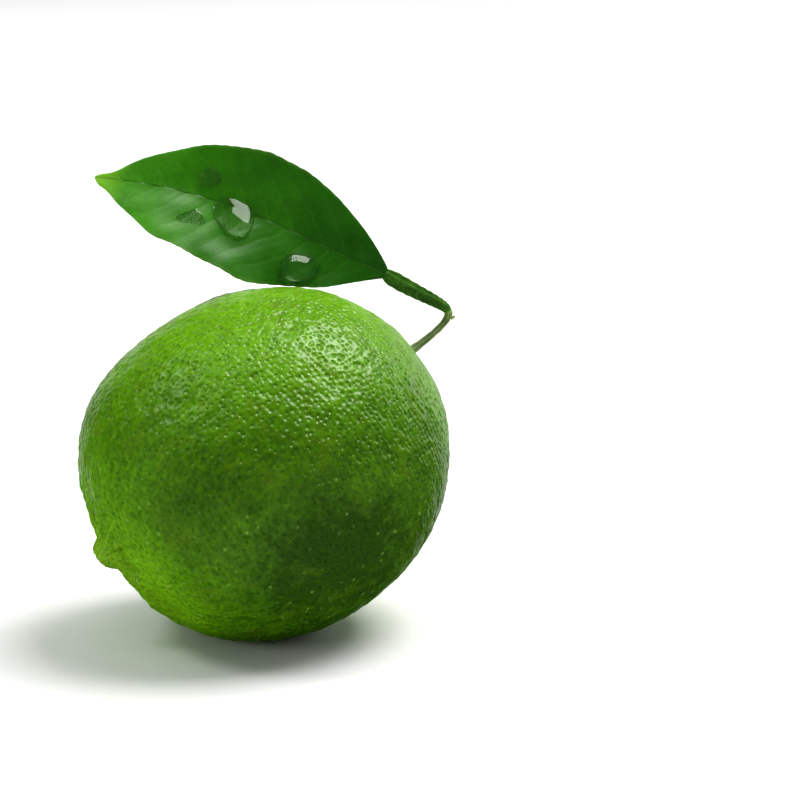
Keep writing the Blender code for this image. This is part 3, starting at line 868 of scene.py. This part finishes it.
class Finish:
    """One material: its Principled shader and the nodes that feed it."""

    def __init__(self, name, colour, **constants):
        self.material = bpy.data.materials.new(name)
        self.material.use_nodes = True
        self.material.diffuse_color = opaque(colour)
        self.tree = self.material.node_tree
        self.shader = self.tree.nodes["Principled BSDF"]
        self.feed("Base Color", opaque(colour))
        for socket, value in constants.items():
            self.feed(socket.replace("_", " "), value)
        self.place = self.node("ShaderNodeTexCoord", {}, {}, "Object")

    def join(self, socket, value):
        """Link a value to a socket, or set the socket to a number or colour."""
        if isinstance(value, Value):
            self.tree.links.new(value.socket, socket)
        else:
            socket.default_value = value

    def feed(self, socket, value):
        """Set or link one of the shader's sockets."""
        self.join(self.shader.inputs[socket], value)

    def node(self, kind, settings, sockets, output=0):
        """One node of any type: its settings first, then its sockets; the output is given as a Value."""
        made = self.tree.nodes.new(kind)
        for name, value in settings.items():
            if name == "stops":
                for spot, colour in value[len(made.color_ramp.elements) :]:
                    made.color_ramp.elements.new(spot)
                for element, (spot, colour) in zip(made.color_ramp.elements, value):
                    element.position = spot
                    element.color = opaque(colour)
            else:
                setattr(made, name, value)
        for key, value in sockets.items():
            self.join(made.inputs[key], value)
        return Value(self, made.outputs[output])

    def maths(self, operation, first, second=0.0):
        """One Math node."""
        return self.node("ShaderNodeMath", {"operation": operation}, {0: first, 1: second})

    def mark(self, name):
        """A value that the mesh holds at each point."""
        return self.node("ShaderNodeAttribute", {"attribute_name": name}, {}, "Fac")

    def noise(self, scale, detail=3.0, roughness=0.55, warp=0.0):
        """Soft noise from 0 to 1, with this many features in a metre."""
        sockets = {"Vector": self.place, "Scale": scale, "Detail": detail}
        sockets.update({"Roughness": roughness, "Distortion": warp})
        return self.node("ShaderNodeTexNoise", {}, sockets)

    def cells(self, scale, feature="F1"):
        """Distance to the nearest of scattered points, with this many in a metre."""
        sockets = {"Vector": self.place, "Scale": scale}
        return self.node("ShaderNodeTexVoronoi", {"feature": feature}, sockets)

    def height(self):
        """How high over the floor each point is."""
        return self.node("ShaderNodeSeparateXYZ", {}, {0: self.place}, "Z")

    def vector(self, operation, first, second=(0.0, 0.0, 0.0), output=0):
        """One Vector Math node."""
        return self.node("ShaderNodeVectorMath", {"operation": operation}, {0: first, 1: second}, output)

    def round_about(self, pole):
        """The angle from a pole and the angle round it, seen from the fruit's centre, in radians."""
        side = upright_side(pole)
        way = self.vector("NORMALIZE", self.vector("SUBTRACT", self.place, CENTRE))
        near, aside, other = (
            self.vector("DOT_PRODUCT", way, axis, "Value") for axis in (pole, side, np.cross(pole, side))
        )
        return self.maths("ARCCOSINE", near), self.maths("ARCTAN2", other, aside)

    def mix(self, share, first, second):
        """A colour between two."""
        sockets = {0: share, 6: opaque(first), 7: opaque(second)}
        return self.node("ShaderNodeMix", {"data_type": "RGBA"}, sockets, 2)

    def colours(self, value, stops, *layers):
        """The colour at a value, between the stops, with each layer's share of a colour laid over it."""
        colour = self.node("ShaderNodeValToRGB", {"stops": stops}, {"Fac": value})
        for share, tint in layers:
            colour = self.mix(share, colour, tint)
        return colour

    def done(self, colour, roughness, relief, distance, strength=1.0):
        """The material, with its colour, its roughness, and a relief that is raised in the shading."""
        self.feed("Base Color", colour)
        self.feed("Roughness", roughness)
        sockets = {"Height": relief, "Distance": distance, "Strength": strength}
        self.feed("Normal", self.node("ShaderNodeBump", {}, sockets))
        return self.material


# The colours that are laid over the finishes' own greens: red, green and blue, from 0 to 1.
DEEP_PEEL = (0.030, 0.120, 0.0012)
OLIVE_PEEL = (0.120, 0.210, 0.0012)
PALE_PEEL = (0.260, 0.440, 0.030)
# Painted glints: pale, faintly blue specks that stand in for light caught on the peel.
PAINTED_GLINT = (0.300, 0.500, 0.110)
DRY_SCAR = (0.100, 0.120, 0.040)
DRY_CALYX = (0.130, 0.085, 0.030)
YOUNG_STALK = (0.300, 0.460, 0.140)
WING_EDGE = (0.090, 0.240, 0.020)
YOUNG_LEAF_STALK = (0.280, 0.460, 0.120)
DRY_SCALE = (0.150, 0.100, 0.035)
LEAF_TIP = (0.210, 0.480, 0.020)
LEAF_VEIN = (0.130, 0.300, 0.030)
LEAF_NET = (0.120, 0.260, 0.030)
# Painted shade for the midrib's crease.
PAINTED_CREASE_SHADE = (0.020, 0.090, 0.0020)
LEAF_RIB = (0.160, 0.330, 0.060)
LEAF_EDGE = (0.150, 0.330, 0.050)
LEAF_UNDER = (0.115, 0.235, 0.050)
LEAF_UNDER_VEIN = (0.220, 0.350, 0.110)
LEAF_UNDER_RIB = (0.270, 0.390, 0.140)


def peel_finish():
    """Waxy green peel mottled deep to yellow green; painted light on top, bottom and ends; painted shade
    and glints.
    """
    finish = Finish("lime_peel", (0.08, 0.25, 0.01), Roughness=0.28, Specular_IOR_Level=0.45)
    broad = finish.noise(75.0)
    middling = finish.noise(330.0, 4.0, 0.6)
    fine = finish.noise(1100.0, 3.0, 0.6)
    from_stem, round_stem = finish.round_about(STEM)
    bowls = pit_depth(from_stem, round_stem)
    pit = bowls.between(0.1, 1.1)
    # Painted light: the peel is made lighter towards the top, where most of the light falls.
    top = finish.height().between(0.036, 0.056)
    # Painted light: the peel is made lighter near the floor, as if light were thrown up onto the bottom.
    bottom = 1.0 - finish.height().between(0.007, 0.022)
    # Painted light: the peel is made lighter round the nipple end, on the lower left, as if lit from the
    # left.
    painted_light_nipple_end = 1.0 - finish.round_about(NIPPLE)[0].between(0.38, 0.78)
    # Painted light: the peel is made lighter round the stem end, on the upper right.
    painted_light_stem_end = 1.0 - from_stem.between(0.60, 1.10)
    # Painted shade: one side of the peel is made darker, as if something standing beside the fruit shaded
    # it.
    painted_shade_side = 1.0 - finish.round_about(SHADED_SIDE)[0].between(0.25, 0.75)
    tone = broad * 0.30 + middling * 0.26 + fine * 0.42 - 0.10
    # Painted shade and light: the creases round the nipple are darker in their grooves and lighter on their
    # ridges.
    tone = tone + top * 0.27 + bottom * 0.22 + finish.mark("crease") * 0.40
    tone = tone + painted_light_nipple_end * 0.20 + painted_light_stem_end * 0.10 - painted_shade_side * 0.32
    stops = [
        (0.25, (0.032, 0.098, 0.0008)),
        (0.42, (0.072, 0.196, 0.0010)),
        (0.56, (0.116, 0.305, 0.0020)),
        (0.74, (0.185, 0.430, 0.0040)),
    ]
    olive = finish.noise(210.0, 4.0, 0.6, warp=0.6).between(0.52, 0.72)
    # Painted glints: small pale specks scattered over the peel as spots of reflected light.
    painted_glint = (1.0 - finish.cells(480.0).between(0.05, 0.17)) * broad.between(0.38, 0.55)
    tip = finish.mark("tip")
    colour = finish.colours(
        tone,
        stops,
        (olive * 0.60, OLIVE_PEEL),
        (pit * 0.25, DEEP_PEEL),
        (painted_glint * 0.55, PAINTED_GLINT),
        ((tip * 0.22 + tip * middling * 0.3).between(0.0, 1.0), PALE_PEEL),
        (finish.mark("scar") * 0.7, DRY_SCAR),
    )
    relief = fine * 0.5 + middling * 0.9 - bowls
    return finish.done(colour, 0.25 + fine * 0.12 + pit * 0.05, relief, PIT_SHADED_DEPTH)


def calyx_finish():
    """Dry grey-green calyx with a browner edge."""
    finish = Finish("calyx_green", (0.16, 0.20, 0.07), Roughness=0.62, Specular_IOR_Level=0.3)
    grain = finish.noise(1400.0, 4.0, 0.65)
    patch = finish.noise(420.0)
    stops = [
        (0.30, (0.070, 0.095, 0.022)),
        (0.50, (0.150, 0.200, 0.060)),
        (0.72, (0.270, 0.310, 0.130)),
    ]
    edge = finish.mark("outer").between(0.72, 1.0)
    colour = finish.colours(grain * 0.5 + patch * 0.5, stops, (edge * 0.6, DRY_CALYX))
    return finish.done(colour, 0.50 + grain * 0.25, grain, 0.00016, 0.6)


def stalk_finish():
    """Grey-green bark in fine lengthwise ridges, paler on the ridges and greener at the bend."""
    finish = Finish("stalk_green", (0.14, 0.20, 0.08), Roughness=0.6, Specular_IOR_Level=0.3)
    grain = finish.noise(1500.0, 4.0, 0.6)
    patch = finish.noise(380.0)
    stops = [
        (0.28, (0.095, 0.155, 0.045)),
        (0.50, (0.210, 0.290, 0.110)),
        (0.72, (0.400, 0.490, 0.250)),
    ]
    tone = grain * 0.35 + patch * 0.45 + finish.mark("ridge") * 0.16 + 0.08
    near_bend = finish.mark("lengthwise").between(0.80, 1.0)
    colour = finish.colours(tone, stops, (near_bend * 0.6, YOUNG_STALK))
    return finish.done(colour, 0.48 + grain * 0.25, grain, 0.00012, 0.6)


def leaf_stalk_finish():
    """Dark smooth green, paler along the wings and towards the bend."""
    finish = Finish("leaf_stalk_green", (0.06, 0.14, 0.03), Roughness=0.42, Specular_IOR_Level=0.2)
    grain = finish.noise(1200.0, 3.0, 0.6)
    patch = finish.noise(300.0)
    stops = [
        (0.30, (0.020, 0.075, 0.003)),
        (0.52, (0.042, 0.140, 0.008)),
        (0.75, (0.110, 0.260, 0.025)),
    ]
    wing = finish.mark("wing").between(0.72, 1.0)
    near_bend = 1.0 - finish.mark("lengthwise").between(0.0, 0.16)
    layers = ((wing * 0.5, WING_EDGE), (near_bend * 0.85, YOUNG_LEAF_STALK))
    colour = finish.colours(grain * 0.4 + patch * 0.6, stops, *layers)
    return finish.done(colour, 0.36 + grain * 0.18, grain, 0.00008, 0.5)


def bud_finish():
    """Pale green bud with darker, browner scale edges."""
    finish = Finish("bud_green", (0.22, 0.33, 0.12), Roughness=0.5, Specular_IOR_Level=0.35)
    grain = finish.noise(2200.0, 3.0, 0.6)
    stops = [
        (0.35, (0.220, 0.340, 0.110)),
        (0.65, (0.400, 0.520, 0.240)),
    ]
    edge = finish.mark("scale").between(0.72, 1.0)
    colour = finish.colours(grain, stops, (edge * 0.6, DRY_SCALE))
    return finish.done(colour, 0.42 + grain * 0.2, grain, 0.00006, 0.5)


def leaf_finish():
    """Dark glossy green above, lighter at the tip; painted crease shade and lower-half light; paler and
    matt below.
    """
    finish = Finish("leaf_green", (0.05, 0.19, 0.02), Roughness=0.40, Specular_IOR_Level=0.36)
    along = finish.mark("along")
    side = finish.mark("side")
    vein = finish.mark("vein").between(0.15, 1.0)
    rib = finish.mark("rib").between(0.15, 0.95)
    rib_middle = finish.mark("rib").between(0.80, 1.0)
    under = finish.mark("underside")
    patch = finish.noise(140.0)
    grain = finish.noise(1300.0, 3.0, 0.6)
    net = finish.cells(1150.0, "DISTANCE_TO_EDGE").between(0.0, 0.10)
    # Painted light: the lower half of the blade, which faces the light more, is made lighter towards the
    # tip.
    painted_light_lower_half = 1.0 - side.between(-0.25, 0.05)
    tone = patch * 0.35 + grain * 0.18 + along * 0.30 + painted_light_lower_half * along * 0.08
    stops = [
        (0.24, (0.012, 0.105, 0.0004)),
        (0.44, (0.030, 0.175, 0.0006)),
        (0.60, (0.050, 0.250, 0.0012)),
        (0.80, (0.085, 0.360, 0.0030)),
    ]
    above = finish.colours(
        tone,
        stops,
        (along.between(0.90, 1.0) * 0.9, LEAF_TIP),
        (vein * 0.10, LEAF_VEIN),
        ((1.0 - net) * 0.06, LEAF_NET),
        # Painted shade: the midrib's crease is made darker.
        (rib * 0.45, PAINTED_CREASE_SHADE),
        (rib_middle * (1.0 - along.between(0.30, 0.60)) * 0.15, LEAF_RIB),
        (abs(side).between(0.93, 1.0) * 0.30, LEAF_EDGE),
    )
    below = finish.mix(vein * 0.5, LEAF_UNDER, LEAF_UNDER_VEIN)
    below = finish.mix(rib * 0.8, below, LEAF_UNDER_RIB)
    colour = finish.mix(under, above, below)
    roughness = 0.34 + grain * 0.10 + under * 0.22
    return finish.done(colour, roughness, net * 0.4 + grain * 0.4, 0.00004, 0.35)


def water_finish():
    """Clear water."""
    finish = Finish("water", (1.0, 1.0, 1.0), Roughness=0.0, IOR=1.333, Transmission_Weight=1.0)
    return finish.material


# ---- stage


def floor_finish():
    """A plain pale matt floor with the faintest grain."""
    finish = Finish("floor_pale", (0.80, 0.80, 0.80), Roughness=0.7, Specular_IOR_Level=0.2)
    grain = finish.noise(40.0, 2.0)
    finish.feed("Base Color", finish.mix(grain, (0.88, 0.88, 0.88), (0.90, 0.90, 0.90)))
    return finish.material


def make_floor():
    """A flat round floor at z = 0, which glossy surfaces don't mirror."""
    turn = full_turn(FLOOR_SIDES)
    points = np.stack([np.cos(turn), np.sin(turn), 0.0 * turn], axis=-1) * FLOOR_RADIUS
    mesh = bpy.data.meshes.new("floor")
    mesh.from_pydata(points.tolist(), [], [list(range(FLOOR_SIDES))])
    mesh.materials.append(floor_finish())
    floor = bpy.data.objects.new("floor", mesh)
    floor.visible_glossy = False
    bpy.context.scene.collection.objects.link(floor)


def make_light(name, way, width, height, brightness, colour, mirrored):
    """A rectangular soft light that faces the fruit's middle."""
    lamp = bpy.data.lights.new(name, "AREA")
    lamp.shape = "RECTANGLE"
    lamp.size = width
    lamp.size_y = height
    lamp.energy = brightness * math.pi * width * height
    lamp.color = colour
    light = bpy.data.objects.new(name, lamp)
    light.visible_glossy = mirrored
    place = CENTRE + unit(np.array(way)) * LIGHT_DISTANCE
    light.location = place
    light.rotation_euler = Vector(CENTRE - place).to_track_quat("-Z", "Y").to_euler()
    bpy.context.scene.collection.objects.link(light)


def make_camera():
    """The camera, level from side to side, that looks along +Y and a little down."""
    rise = math.radians(CAMERA_PITCH)
    up = np.array([0.0, math.sin(rise), math.cos(rise)])
    back = np.array([0.0, -math.cos(rise), math.sin(rise)])
    target = CENTRE + np.array([CAMERA_ASIDE, 0.0, 0.0]) + up * CAMERA_ABOVE
    lens = bpy.data.cameras.new("camera")
    lens.lens = CAMERA_LENS
    lens.clip_start = 0.01
    camera = bpy.data.objects.new("camera", lens)
    camera.location = target + back * CAMERA_REACH
    camera.rotation_euler = (math.radians(90.0 - CAMERA_PITCH), 0.0, 0.0)
    bpy.context.scene.collection.objects.link(camera)
    bpy.context.scene.camera = camera


def make_world():
    """Even light from all round, which glossy surfaces don't mirror, and how bright light is shown."""
    world = bpy.data.worlds.new("studio")
    bpy.context.scene.world = world
    world.use_nodes = True
    background = world.node_tree.nodes["Background"]
    background.inputs["Color"].default_value = WORLD_COLOUR
    background.inputs["Strength"].default_value = WORLD_STRENGTH
    world.cycles_visibility.glossy = False
    bpy.context.scene.view_settings.view_transform = "Standard"
    bpy.context.scene.view_settings.look = "Medium High Contrast"


def main():
    """Make every piece and the stage."""
    leaf = packed_leaf()
    towards_leaf = direction(LEAF_STALK_HEADING, LEAF_STALK_PITCH)
    bend = leaf.base - LEAF_STALK_LENGTH * towards_leaf
    bend_way = unit(direction(STALK_HEADING, STALK_PITCH) + towards_leaf)
    make_fruit()
    make_calyx()
    make_fruit_stalk(bend, bend_way)
    make_bud(bend, bend_way)
    make_leaf_stalk(leaf, bend, bend_way)
    make_leaf(leaf)
    water = water_finish()
    for name, sizes in DROPS.items():
        make_drop(name, leaf, *sizes, water)
    make_floor()
    for name, facts in LIGHTS.items():
        make_light(name, *facts)
    make_camera()
    make_world()


main()
